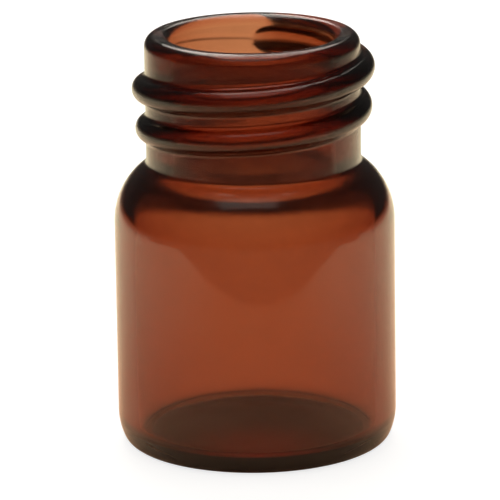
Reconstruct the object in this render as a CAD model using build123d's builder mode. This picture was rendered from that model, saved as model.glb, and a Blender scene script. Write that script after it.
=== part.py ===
"""A short screw-neck sample vial, formed from tube as one piece of glass and open at the mouth."""

import os
from math import acos, cos, degrees, pi, radians, sin

from build123d import *

# Tube body and base, in millimetres. The vial stands on the ring between the push-up and the heel.
overall_height = 22.0
body_diameter = 14.8
body_wall = 1.05
base_thickness = 0.75
push_up_height = 0.3
standing_ring = 1.2
heel_inset = 0.5
heel_height = 1.7
heel_corner = 0.7
floor_corner = 0.7

# Shoulder, neck and mouth
shoulder_height = 3.1
shoulder_root = 0.35
neck_length = 6.87
neck_diameter = 11.32
neck_wall = 1.36
bore_flare = 2.2
inner_shoulder_drop = 1.0
lip_outer_share = 0.44
lip_inner_share = 0.37

# Screw thread: a right-hand rounded bead. It starts abruptly under the lip, a little lower than its helix,
# and sinks slowly back into the neck at its lower end.
thread_pitch = 2.117
thread_depth = 0.8
thread_fall_per_turn = 0.15
thread_crest_round = 0.66
thread_root_round = 0.28
thread_root_sink = 0.03
thread_bed = 0.36
thread_end_height = 0.06
thread_end_sink = 0.1
thread_start_drop = 1.26
thread_start_dip = 0.2
thread_foot = 1.376
thread_start_angle = 90.0
thread_dip_share = 0.26
thread_run_in_share = 0.06
thread_run_out_share = 0.17
sections_per_run_in = 3
sections_per_turn = 18

body_radius = body_diameter / 2
inner_radius = body_radius - body_wall
heel_radius = body_radius - heel_inset
push_up_radius = heel_radius - standing_ring
neck_radius = neck_diameter / 2
bore_radius = neck_radius - neck_wall
shoulder_top = overall_height - neck_length
shoulder_start = shoulder_top - shoulder_height
inner_shoulder_top = shoulder_top - inner_shoulder_drop
inner_shoulder_start = inner_shoulder_top - (inner_radius - bore_radius)
floor_height = base_thickness + push_up_height

bead_rounds = thread_crest_round + thread_root_round
thread_turns = (neck_length - thread_start_drop - thread_foot) / thread_pitch
full_turns = thread_turns - thread_run_in_share


def thread_form(turn):
    """Share of the full bead that shows, and its height off the neck, at a turn from the upper end."""
    run_in = turn / thread_run_in_share
    run_out = (thread_turns - turn) / thread_run_out_share
    shown_share = 1 - (1 - min(1, run_in, run_out)) ** 2
    full_height = thread_depth - thread_fall_per_turn * turn
    return shown_share, shown_share * full_height + (1 - shown_share) * thread_end_height


def thread_plane(turn, shown_share):
    """Plane across the bead with its origin on the neck, or just under it where the bead ends."""
    angle = radians(thread_start_angle) - 2 * pi * turn
    outward = Vector(cos(angle), sin(angle), 0)
    along = Vector(sin(angle), -cos(angle), -thread_pitch / (pi * neck_diameter))
    reach = neck_radius - (1 - shown_share) * thread_end_sink
    dip = thread_start_dip * max(0, 1 - turn / thread_dip_share) ** 2
    height = overall_height - thread_start_drop - thread_pitch * turn - dip
    return Plane(outward * reach + Vector(0, 0, height), x_dir=outward, z_dir=along)


with BuildPart() as thread:
    section_count = round(full_turns * sections_per_turn)
    turns = [thread_run_in_share * step / sections_per_run_in for step in range(sections_per_run_in)]
    turns += [thread_run_in_share + full_turns * step / section_count for step in range(section_count + 1)]
    for turn in turns:
        shown_share, bead_height = thread_form(turn)
        bead_angle = acos((bead_rounds - bead_height - thread_root_sink) / bead_rounds)
        half_width = bead_rounds * sin(bead_angle)
        with BuildSketch(thread_plane(turn, shown_share)):
            with BuildLine():
                crest = CenterArc(
                    (bead_height - thread_crest_round, 0),
                    thread_crest_round,
                    -degrees(bead_angle),
                    2 * degrees(bead_angle),
                )
                upper_root = TangentArc(crest @ 1, (-thread_root_sink, half_width), tangent=crest % 1)
                lower_root = TangentArc(crest @ 0, (-thread_root_sink, -half_width), tangent=-(crest % 0))
                Polyline(
                    upper_root @ 1,
                    (-thread_bed, half_width),
                    (-thread_bed, -half_width),
                    lower_root @ 1,
                )
            make_face()
    loft()

with BuildPart() as vial:
    with BuildSketch(Plane.XZ) as wall:
        with BuildLine():
            # Outside, from the middle of the base up to the lip
            TangentArc((0, push_up_height), (push_up_radius, 0), tangent=(1, 0))
            Line((push_up_radius, 0), (heel_radius, 0))
            TangentArc((body_radius, heel_height), (heel_radius, 0), tangent=(0, -1))
            Line((body_radius, heel_height), (body_radius, shoulder_start))
            TangentArc((body_radius, shoulder_start), (neck_radius, shoulder_top), tangent=(0, 1))
            Line((neck_radius, shoulder_top), (neck_radius, overall_height))
            Line((neck_radius, overall_height), (bore_radius, overall_height))
            # Inside, from the lip down to the middle of the floor, with a quarter round under the shoulder
            Line((bore_radius, overall_height), (bore_radius, inner_shoulder_top))
            TangentArc(
                (inner_radius, inner_shoulder_start), (bore_radius, inner_shoulder_top), tangent=(0, 1)
            )
            Line((inner_radius, inner_shoulder_start), (inner_radius, base_thickness))
            TangentArc((0, floor_height), (inner_radius, base_thickness), tangent=(1, 0))
            Line((0, floor_height), (0, push_up_height))
        make_face()
        rounded_corners = [
            ((heel_radius, 0), heel_corner),
            ((neck_radius, shoulder_top), shoulder_root),
            ((neck_radius, overall_height), lip_outer_share * neck_wall),
            ((bore_radius, overall_height), lip_inner_share * neck_wall),
            ((bore_radius, inner_shoulder_top), bore_flare),
            ((inner_radius, base_thickness), floor_corner),
        ]
        for place, rounding in rounded_corners:
            fillet(wall.vertices().sort_by_distance(place)[0], rounding)
    revolve(axis=Axis.Z)
    add(thread.part)

vial.part.label = "vial"
os.makedirs("parts", exist_ok=True)
export_step(vial.part, "parts/vial.step")
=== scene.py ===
"""An amber glass sample vial with a screw neck, standing open on a pale floor in soft studio light.

The vial's own sizes are in millimetres, as on its drawing, and MM turns them into the scene's metres. Glass, stage and
camera are in metres, unless a comment says otherwise.
"""

from math import acos, atan2, cos, hypot, pi, radians, sin

import bmesh
import bpy
from mathutils import Matrix, Vector


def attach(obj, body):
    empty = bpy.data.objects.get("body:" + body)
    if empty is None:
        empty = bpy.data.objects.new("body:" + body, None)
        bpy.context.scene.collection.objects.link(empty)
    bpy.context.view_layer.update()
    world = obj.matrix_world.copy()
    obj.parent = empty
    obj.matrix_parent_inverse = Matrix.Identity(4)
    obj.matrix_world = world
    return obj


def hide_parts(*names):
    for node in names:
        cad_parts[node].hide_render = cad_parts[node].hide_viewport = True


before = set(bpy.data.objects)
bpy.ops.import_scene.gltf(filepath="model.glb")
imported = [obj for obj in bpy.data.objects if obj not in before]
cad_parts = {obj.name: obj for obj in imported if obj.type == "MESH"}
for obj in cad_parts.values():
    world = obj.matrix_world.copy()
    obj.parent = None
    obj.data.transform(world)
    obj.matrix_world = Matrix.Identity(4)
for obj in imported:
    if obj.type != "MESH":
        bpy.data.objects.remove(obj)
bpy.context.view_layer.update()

MM = 0.001
BLACK = (0, 0, 0, 1)
WHITE = (1, 1, 1, 1)

# Body and base
HEIGHT = 22
BODY_RADIUS = 7.4
INNER_RADIUS = 6.35
PUSH_UP_RADIUS = 5.7
PUSH_UP_HEIGHT = 0.3
FLOOR_HEIGHT = 1.05

# Neck and thread. The turns are counted down from the thread's upper end.
NECK_RADIUS = 5.66
NECK_BOTTOM = 15.3206
NECK_TOP = 21.4016
THREAD_PITCH = 2.117
THREAD_DEPTH = 0.8
THREAD_FALL = 0.15
THREAD_TURNS = 2.0
THREAD_RUN_IN = 0.06
THREAD_RUN_OUT = 0.17
THREAD_START = 20.74
THREAD_START_DIP = 0.2
THREAD_DIP_TURNS = 0.26
THREAD_START_ANGLE = radians(90)
CREST_ROUND = 0.66
ROOT_ROUND = 0.28
LOWEST_BEAD = 0.12

# Bore, and the faint ridge that forming left at its back. The ridge's height is given at a quarter turn.
BORE_RADIUS = 4.3
BORE_TOLERANCE = 0.001
RIDGE_SPAN = (radians(76), radians(190))
RIDGE_MIDDLE = 20.82
RIDGE_MIDDLE_TURN = 0.25
RIDGE_RISE = 0.022
RIDGE_HALF_WIDTH = 0.2

# Mesh: columns round the axis, rows over one pitch of the thread, and the turns that the neck's grid covers to reach
# past both ends of the neck
COLUMNS = 256
LAND_ROWS = 4
ROOT_ROWS = 8
CREST_ROWS = 16
ROWS_PER_PITCH = 2 * LAND_ROWS + 2 * ROOT_ROWS + CREST_ROWS
GRID_TURNS = (-1, 4)
STRAIGHT_TURN = 1e-4  # radians
AXIS_RADIUS = 1e-6
WELD_DISTANCE = 1e-7  # metres

# Wall section. Each stretch leaves the last one smoothly, ends at a radius and height, and has a number of steps.
PUSH_UP = [(PUSH_UP_RADIUS, 0, 10)]
OUTSIDE = [
    (6.4857, 0, 3),  # standing ring
    (7.1242, 0.4131, 8),  # corner of the heel
    (BODY_RADIUS, 1.7, 10),  # heel
    (BODY_RADIUS, 12.03, 12),  # tube
    (5.813, 15.0313, 26),  # shoulder
    (NECK_RADIUS, NECK_BOTTOM, 7),  # root of the neck
]
INSIDE = [
    (5.0616, HEIGHT, 12),  # outer round of the lip
    (4.8032, HEIGHT, 3),  # top of the lip
    (BORE_RADIUS, 21.4968, 10),  # inner round of the lip
    (BORE_RADIUS, 20.5, 28),  # bore at the ridge
    (BORE_RADIUS, 15.7163, 16),  # rest of the bore
    (5.3612, 13.834, 20),  # flare
    (INNER_RADIUS, 12.08, 24),  # round under the shoulder
    (INNER_RADIUS, 1.5151, 16),  # tube
    (5.5919, 0.8175, 16),  # corner of the floor
    (0, FLOOR_HEIGHT, 12),  # floor
]

# Glass, coloured through its depth. The smooth body gives way to the tooled neck between two heights. Each noise has a
# scale, a detail and a stretch along the axes, and the ripples and tool marks have a height in millimetres.
GLASS_IOR = 1.51
ABSORPTION_TONE = (0.682, 0.368, 0.182, 1)
ABSORPTION_DENSITY = 2200
TOOLED_EDGE = (0.0120, 0.0150)
BODY_ROUGHNESS = 0.05
NECK_ROUGHNESS = 0.2
PATCHES = (700, 2, (1, 1, 1))
LEAST_PATCH = 0.5
STREAKS = (900, 2, (1, 1, 0.08))
STREAK_TONE = (0.94, 0.92, 0.89, 1)
RIPPLES = (260, 1, (1, 1, 0.6))
RIPPLE_HEIGHT = 0.02
TOOL_MARKS = (900, 1, (1, 1, 1.6))
TOOL_MARK_HEIGHT = 0.01

# Floor. A pool of light is painted on it in a strip round the vial and behind it, with painted shade past that.
# The strip's front is half an ellipse, given by its middle, half width and depth, and reflections in the body show the
# painted shade past it as a dark V. The strip is painted warmer towards the front, as the amber shadow that the vial
# would cast through its glass. An edge is given by the places where it starts and ends.
FLOOR_HALF = 0.6
FRONT_MIDDLE = -0.003
FRONT_HALF_WIDTH = 0.060
FRONT_DEPTH = 0.0392
FRONT_EDGE = (-0.0015, 0.0015)
LIT_BACK = (0.170, 0.085)
LIT_SIDE = (0.115, 0.045)
# Painted amber shadow towards the front, and where it fades into the back tone
AMBER_SHADOW_EDGE = (-0.04, 0.09)
AMBER_SHADOW_TONE = (0.9, 0.5, 0.31, 1)
BACK_TONE = (0.9, 0.9, 0.68, 1)
SIDE_EDGE = (0.012, 0.045)
SIDE_TONE = (0.9, 0.79, 0.58, 1)
# Painted shade past the pool
SHADED_SURROUND_TONE = (0.23, 0.2, 0.16, 1)

# Under the base, a faint red glow is painted on the floor in place of the light that the glass would let down to it
UNDER_MIDDLE = -0.0032
UNDER_GLOW_EDGE = (0.0048, 0.0008)
UNDER_GLOW_TONE = (0.19, 0.03, 0.01, 1)

# The camera sees a plain floor that is lifted to white, and the glass sees the floor a little lifted
CAMERA_TONE = (0.3, 0.3, 0.3, 1)
CAMERA_LIFT = (0.8, 0.8, 0.8, 1)
GLASS_LIFT = 0.025

ROOM_TONE = (0.06, 0.055, 0.05, 1)
LAMP_TONE = (1, 0.93, 0.84)

# Camera, at the photograph's distance, height and slight roll, with lens and sensor in millimetres
CAMERA_AIM = (0, 0, 0.011)
CAMERA_DISTANCE = 0.240
CAMERA_RISE = radians(15.091)
CAMERA_ROLL = radians(0.834)
CAMERA_LENS = 326.75
CAMERA_SENSOR = 36
CAMERA_SHIFT = (-0.0097, -0.0275)
CAMERA_CLIP = 0.01


def trace(start, heading, stretches):
    """Points (radius, height) along a section whose stretches each leave the last one smoothly, as arcs or lines."""
    points = [start]
    for radius, height, steps in stretches:
        from_radius, from_height = points[-1]
        chord = hypot(radius - from_radius, height - from_height)
        turn = (atan2(height - from_height, radius - from_radius) - heading + pi) % (2 * pi) - pi
        for step in range(1, steps + 1):
            share = step / steps
            reach = chord * (sin(turn * share) / sin(turn) if abs(turn) > STRAIGHT_TURN else share)
            aim = heading + turn * share
            points.append((from_radius + reach * cos(aim), from_height + reach * sin(aim)))
        heading += 2 * turn
    return points


def bead_height(turn):
    """Height of the thread's bead off the neck."""
    if not 0 < turn < THREAD_TURNS:
        return 0.0
    shown = min(1, turn / THREAD_RUN_IN, (THREAD_TURNS - turn) / THREAD_RUN_OUT)
    return (1 - (1 - shown) ** 2) * (THREAD_DEPTH - THREAD_FALL * turn)


def bead_middle(turn):
    """Height of the bead's middle, which lies a little under its helix where the thread starts."""
    dip = THREAD_START_DIP * max(0, 1 - abs(turn) / THREAD_DIP_TURNS) ** 2
    return THREAD_START - THREAD_PITCH * turn - dip


def bead_section(height, above, below):
    """Points (drop, rise) of the neck from halfway to the bead above to halfway to the bead below."""
    full = max(height, LOWEST_BEAD)
    rounds = CREST_ROUND + ROOT_ROUND
    lean = acos((rounds - full) / rounds)
    half_width = rounds * sin(lean)
    points = [(-above + (above - half_width) * row / LAND_ROWS, 0) for row in range(LAND_ROWS)]
    for row in range(ROOT_ROWS):
        angle = lean * row / ROOT_ROWS
        points.append((-half_width + ROOT_ROUND * sin(angle), ROOT_ROUND * (1 - cos(angle))))
    for row in range(CREST_ROWS + 1):
        angle = lean * (2 * row / CREST_ROWS - 1)
        points.append((CREST_ROUND * sin(angle), full - CREST_ROUND * (1 - cos(angle))))
    for row in range(ROOT_ROWS - 1, -1, -1):
        angle = lean * row / ROOT_ROWS
        points.append((half_width - ROOT_ROUND * sin(angle), ROOT_ROUND * (1 - cos(angle))))
    points += [(half_width + (below - half_width) * row / LAND_ROWS, 0) for row in range(1, LAND_ROWS)]
    return [(drop, rise * height / full) for drop, rise in points]


def place(angle, radius, height):
    """A point in the scene's metres, from an angle and the vial's millimetres."""
    return (radius * cos(angle) * MM, radius * sin(angle) * MM, height * MM)


def column_angle(column):
    """Angle of a column, counted from the thread's start and down along it."""
    return THREAD_START_ANGLE - 2 * pi * column / COLUMNS


def add_lathe(mesh, section):
    """Turns a section about the axis; a point on the axis becomes one vertex."""
    rings = []
    for radius, height in section:
        if radius < AXIS_RADIUS:
            rings.append([mesh.verts.new((0, 0, height * MM))] * COLUMNS)
        else:
            rings.append([mesh.verts.new(place(column_angle(c), radius, height)) for c in range(COLUMNS)])
    for lower, upper in zip(rings, rings[1:]):
        for column in range(COLUMNS):
            after = (column + 1) % COLUMNS
            corners = [lower[column], lower[after], upper[after], upper[column]]
            mesh.faces.new(list(dict.fromkeys(corners)))


def add_threaded_neck(mesh):
    """The outside of the neck, as a grid whose rows climb with the thread and stop at the neck's two ends."""
    first, last = (turns * COLUMNS for turns in GRID_TURNS)
    grid = {}
    for step in range(first, last + 1):
        turn = step / COLUMNS
        middle = bead_middle(turn)
        above = (bead_middle(turn - 1) - middle) / 2
        below = (middle - bead_middle(turn + 1)) / 2
        for row, (drop, rise) in enumerate(bead_section(bead_height(turn), above, below)):
            height = min(max(middle - drop, NECK_BOTTOM), NECK_TOP)
            grid[step, row] = mesh.verts.new(place(column_angle(step), NECK_RADIUS + rise, height))
    for step in range(first, last):
        for row in range(ROWS_PER_PITCH):
            under = (step, row + 1) if row + 1 < ROWS_PER_PITCH else (step + COLUMNS, 0)
            beside = (under[0] + 1, under[1])
            if beside in grid:
                mesh.faces.new([grid[step, row], grid[under], grid[beside], grid[step + 1, row]])


def raise_ridge(mesh):
    """A faint ridge round the back of the bore, which falls as the thread does."""
    first, last = RIDGE_SPAN
    for vert in mesh.verts:
        x, y, height = vert.co / MM
        angle = atan2(y, x) % (2 * pi)
        along = (angle - first) / (last - first)
        climb = THREAD_PITCH * (angle / (2 * pi) - RIDGE_MIDDLE_TURN)
        aside = (height - RIDGE_MIDDLE - climb) / RIDGE_HALF_WIDTH
        if hypot(x, y) < BORE_RADIUS + BORE_TOLERANCE and abs(aside) < 1 and 0 < along < 1:
            rise = RIDGE_RISE * cos(aside * pi / 2) ** 2 * sin(along * pi) ** 0.5
            vert.co.xy *= 1 - rise / BORE_RADIUS


def add_object(name, data):
    """An object in the scene."""
    thing = bpy.data.objects.new(name, data)
    bpy.context.scene.collection.objects.link(thing)
    return thing


def build_vial():
    """The vial as one closed mesh: turned base, body, lip and inside, and the neck with its thread."""
    mesh = bmesh.new()
    add_lathe(mesh, trace((0, PUSH_UP_HEIGHT), 0, PUSH_UP))
    add_lathe(mesh, trace((PUSH_UP_RADIUS, 0), 0, OUTSIDE))
    add_lathe(mesh, trace((NECK_RADIUS, NECK_TOP), pi / 2, INSIDE))
    raise_ridge(mesh)
    add_threaded_neck(mesh)
    bmesh.ops.remove_doubles(mesh, verts=mesh.verts, dist=WELD_DISTANCE)
    bmesh.ops.recalc_face_normals(mesh, faces=mesh.faces)
    for face in mesh.faces:
        face.smooth = True
    data = bpy.data.meshes.new("vial_glass")
    mesh.to_mesh(data)
    mesh.free()
    return add_object("vial_glass", data)


class Shading:
    """The emptied node tree of a material or world, with short ways to add the nodes used here."""

    def __init__(self, owner):
        owner.use_nodes = True
        self.nodes, self.links = owner.node_tree.nodes, owner.node_tree.links
        self.nodes.clear()

    def feed(self, socket, value):
        """Sets an input to a constant, or links another node's output to it."""
        if isinstance(value, bpy.types.NodeSocket):
            self.links.new(value, socket)
        else:
            socket.default_value = value

    def add(self, kind, inputs=None, **settings):
        """A node of a kind, with its settings made first and its named inputs fed."""
        node = self.nodes.new("ShaderNode" + kind)
        for name, value in settings.items():
            setattr(node, name, value)
        for name, value in (inputs or {}).items():
            self.feed(node.inputs[name], value)
        return node

    def math(self, operation, *values):
        node = self.add("Math", operation=operation)
        for socket, value in zip(node.inputs, values):
            self.feed(socket, value)
        return node.outputs["Value"]

    def square(self, value):
        return self.math("MULTIPLY", value, value)

    def position(self):
        """Place on the piece, in its own metres."""
        return self.add("TexCoord").outputs["Object"]

    def axes(self):
        """The place's X, Y and Z."""
        return self.add("SeparateXYZ", {"Vector": self.position()}).outputs

    def fade(self, value, edge):
        """Rises smoothly from 0 to 1 as the value goes from the first side of an edge to the second."""
        limits = {"Value": value, "From Min": edge[0], "From Max": edge[1]}
        return self.add("MapRange", limits, interpolation_type="SMOOTHSTEP").outputs["Result"]

    def noise(self, scale, detail, stretch):
        """Noise over the place on the piece, drawn out along the axes by stretch."""
        mapping = self.add("Mapping", {"Vector": self.position(), "Scale": stretch})
        inputs = {"Vector": mapping.outputs["Vector"], "Scale": scale, "Detail": detail}
        return self.add("TexNoise", inputs).outputs["Fac"]

    def mix(self, factor, first, second):
        """A mix of two colours, each a constant or an output."""
        inputs = {"Factor": factor, "A": first, "B": second}
        return self.add("Mix", inputs, data_type="RGBA").outputs["Result"]

    def both(self, first, second):
        """The sum of two shaders."""
        node = self.add("AddShader")
        self.feed(node.inputs[0], first)
        self.feed(node.inputs[1], second)
        return node.outputs["Shader"]


def amber_glass():
    """Clear amber glass, coloured through its depth: drawn smooth on the body, tooled and less even on the neck."""
    material = bpy.data.materials.new("amber_glass")
    shading = Shading(material)
    tooled = shading.fade(shading.axes()["Z"], TOOLED_EDGE)

    roughness = shading.math("MULTIPLY_ADD", tooled, NECK_ROUGHNESS - BODY_ROUGHNESS, BODY_ROUGHNESS)
    patches = shading.math("ADD", shading.noise(*PATCHES), LEAST_PATCH)

    ripples = shading.math("MULTIPLY", shading.noise(*RIPPLES), RIPPLE_HEIGHT)
    tool_marks = shading.math("MULTIPLY", shading.noise(*TOOL_MARKS), tooled)
    height = shading.math("MULTIPLY_ADD", tool_marks, TOOL_MARK_HEIGHT, ripples)
    bump = shading.add("Bump", {"Strength": 1.0, "Distance": MM, "Height": height})

    surface = shading.add("BsdfPrincipled", {
        "Base Color": shading.mix(shading.noise(*STREAKS), WHITE, STREAK_TONE),
        "Roughness": shading.math("MULTIPLY", roughness, patches),
        "IOR": GLASS_IOR,
        "Transmission Weight": 1.0,
        "Normal": bump.outputs["Normal"],
    })
    depth = shading.add("VolumeAbsorption", {"Color": ABSORPTION_TONE, "Density": ABSORPTION_DENSITY})
    shading.add("OutputMaterial", {"Surface": surface.outputs["BSDF"], "Volume": depth.outputs["Volume"]})
    return material


def pale_floor():
    """A pale floor, with a painted pool of light round the vial and behind it, lifted to full white for the camera."""
    material = bpy.data.materials.new("pale_floor")
    shading = Shading(material)
    path = shading.add("LightPath").outputs
    where = shading.axes()
    across, ahead = where["X"], where["Y"]
    aside = shading.math("ABSOLUTE", across)

    # Where the pool of light is painted: behind the front's half ellipse and within the back and the sides
    off_middle = shading.math("DIVIDE", shading.math("SUBTRACT", across, FRONT_MIDDLE), FRONT_HALF_WIDTH)
    bow = shading.math("MAXIMUM", shading.math("SUBTRACT", 1, shading.square(off_middle)), 0)
    past_front = shading.math("MULTIPLY_ADD", shading.math("SQRT", bow), FRONT_DEPTH, ahead)
    painted_pool = shading.math("MULTIPLY", shading.fade(past_front, FRONT_EDGE), shading.fade(ahead, LIT_BACK))
    painted_pool = shading.math("MULTIPLY", painted_pool, shading.fade(aside, LIT_SIDE))

    # Painted tones: the amber shadow at the front, the back and the sides of the pool, and painted shade past it
    pool_tone = shading.mix(shading.fade(ahead, AMBER_SHADOW_EDGE), AMBER_SHADOW_TONE, BACK_TONE)
    pool_tone = shading.mix(shading.fade(aside, SIDE_EDGE), pool_tone, SIDE_TONE)
    tone = shading.mix(painted_pool, SHADED_SURROUND_TONE, pool_tone)

    # Painted red glow under the base, in place of the light that the glass would let down to the floor
    off_under = shading.math("SUBTRACT", ahead, UNDER_MIDDLE)
    from_under = shading.math("SQRT", shading.math("ADD", shading.square(across), shading.square(off_under)))
    under_glow = shading.mix(shading.fade(from_under, UNDER_GLOW_EDGE), BLACK, UNDER_GLOW_TONE)

    to_camera = path["Is Camera Ray"]
    in_glass = shading.math("ADD", path["Is Glossy Ray"], path["Is Transmission Ray"])
    diffuse = shading.add("BsdfDiffuse", {"Color": shading.mix(to_camera, tone, CAMERA_TONE)})
    glow = shading.add("Emission", {"Color": shading.mix(to_camera, under_glow, CAMERA_LIFT)})
    shine = shading.add("Emission", {"Color": tone, "Strength": shading.math("MULTIPLY", in_glass, GLASS_LIFT)})
    emission = shading.both(glow.outputs["Emission"], shine.outputs["Emission"])
    shading.add("OutputMaterial", {"Surface": shading.both(diffuse.outputs["BSDF"], emission)})
    return material


def build_floor():
    """One square, level with the vial's standing ring."""
    corners = [(x * FLOOR_HALF, y * FLOOR_HALF, 0) for x, y in ((-1, -1), (1, -1), (1, 1), (-1, 1))]
    data = bpy.data.meshes.new("floor")
    data.from_pydata(corners, [], [(0, 1, 2, 3)])
    return add_object("floor", data)


def add_room():
    """A dim room, white to the camera."""
    world = bpy.data.worlds.new("studio")
    bpy.context.scene.world = world
    shading = Shading(world)
    to_camera = shading.add("LightPath").outputs["Is Camera Ray"]
    background = shading.add("Background", {"Color": shading.mix(to_camera, ROOM_TONE, WHITE)})
    shading.add("OutputWorld", {"Surface": background.outputs["Background"]})


def add_softbox(name, at, size, brightness, mirrored=True, through_glass=True):
    """A downward lamp that looks as bright as a white surface times brightness, where the glass shows it."""
    light = bpy.data.lights.new(name, "AREA")
    light.shape = "RECTANGLE"
    light.size, light.size_y = size
    light.energy = brightness * pi * size[0] * size[1]
    light.color = LAMP_TONE
    lamp = add_object(name, light)
    lamp.location = at
    lamp.visible_camera = False
    lamp.visible_glossy = mirrored
    lamp.visible_transmission = through_glass


def add_camera():
    """The scene's camera, which looks down at the vial's middle with its top rolled to the right."""
    right = Vector((1, 0, 0))
    up = Vector((0, sin(CAMERA_RISE), cos(CAMERA_RISE)))
    forward = Vector((0, cos(CAMERA_RISE), -sin(CAMERA_RISE)))
    rolled_right = right * cos(CAMERA_ROLL) - up * sin(CAMERA_ROLL)
    rolled_up = up * cos(CAMERA_ROLL) + right * sin(CAMERA_ROLL)
    data = bpy.data.cameras.new("camera")
    data.lens = CAMERA_LENS
    data.sensor_width = CAMERA_SENSOR
    data.shift_x, data.shift_y = CAMERA_SHIFT
    data.clip_start = CAMERA_CLIP
    camera = add_object("camera", data)
    turn = Matrix((rolled_right, rolled_up, -forward)).transposed().to_4x4()
    camera.matrix_world = Matrix.Translation(Vector(CAMERA_AIM) - forward * CAMERA_DISTANCE) @ turn
    bpy.context.scene.camera = camera


vial = build_vial()
vial.data.materials.append(amber_glass())
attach(vial, "root")
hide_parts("vial")

floor = build_floor()
floor.data.materials.append(pale_floor())

# Lamps that light the floor alone
add_softbox("back_fill", (0, 0.2, 0.16), (0.2, 0.12), 3.8, mirrored=False, through_glass=False)
add_softbox("fill_left", (-0.09, 0.005, 0.08), (0.1, 0.16), 1.8, mirrored=False, through_glass=False)
add_softbox("fill_right", (0.09, 0.005, 0.08), (0.1, 0.16), 1.8, mirrored=False, through_glass=False)
# Lamps that the glass also shows, as highlights on the lip, thread and shoulder
add_softbox("front_box", (-0.012, -0.055, 0.15), (0.1, 0.05), 0.9)
add_softbox("top_box_left", (-0.0235, 0.02, 0.15), (0.043, 0.06), 3.0)
add_softbox("top_box_right", (0.0235, 0.02, 0.15), (0.043, 0.06), 2.4)
add_softbox("back_box_left", (-0.0285, 0.175, 0.15), (0.053, 0.25), 4.4, through_glass=False)
add_softbox("back_box_right", (0.0285, 0.175, 0.15), (0.053, 0.25), 2.6, through_glass=False)
add_room()
add_camera()
bpy.context.scene.view_settings.view_transform = "Standard"
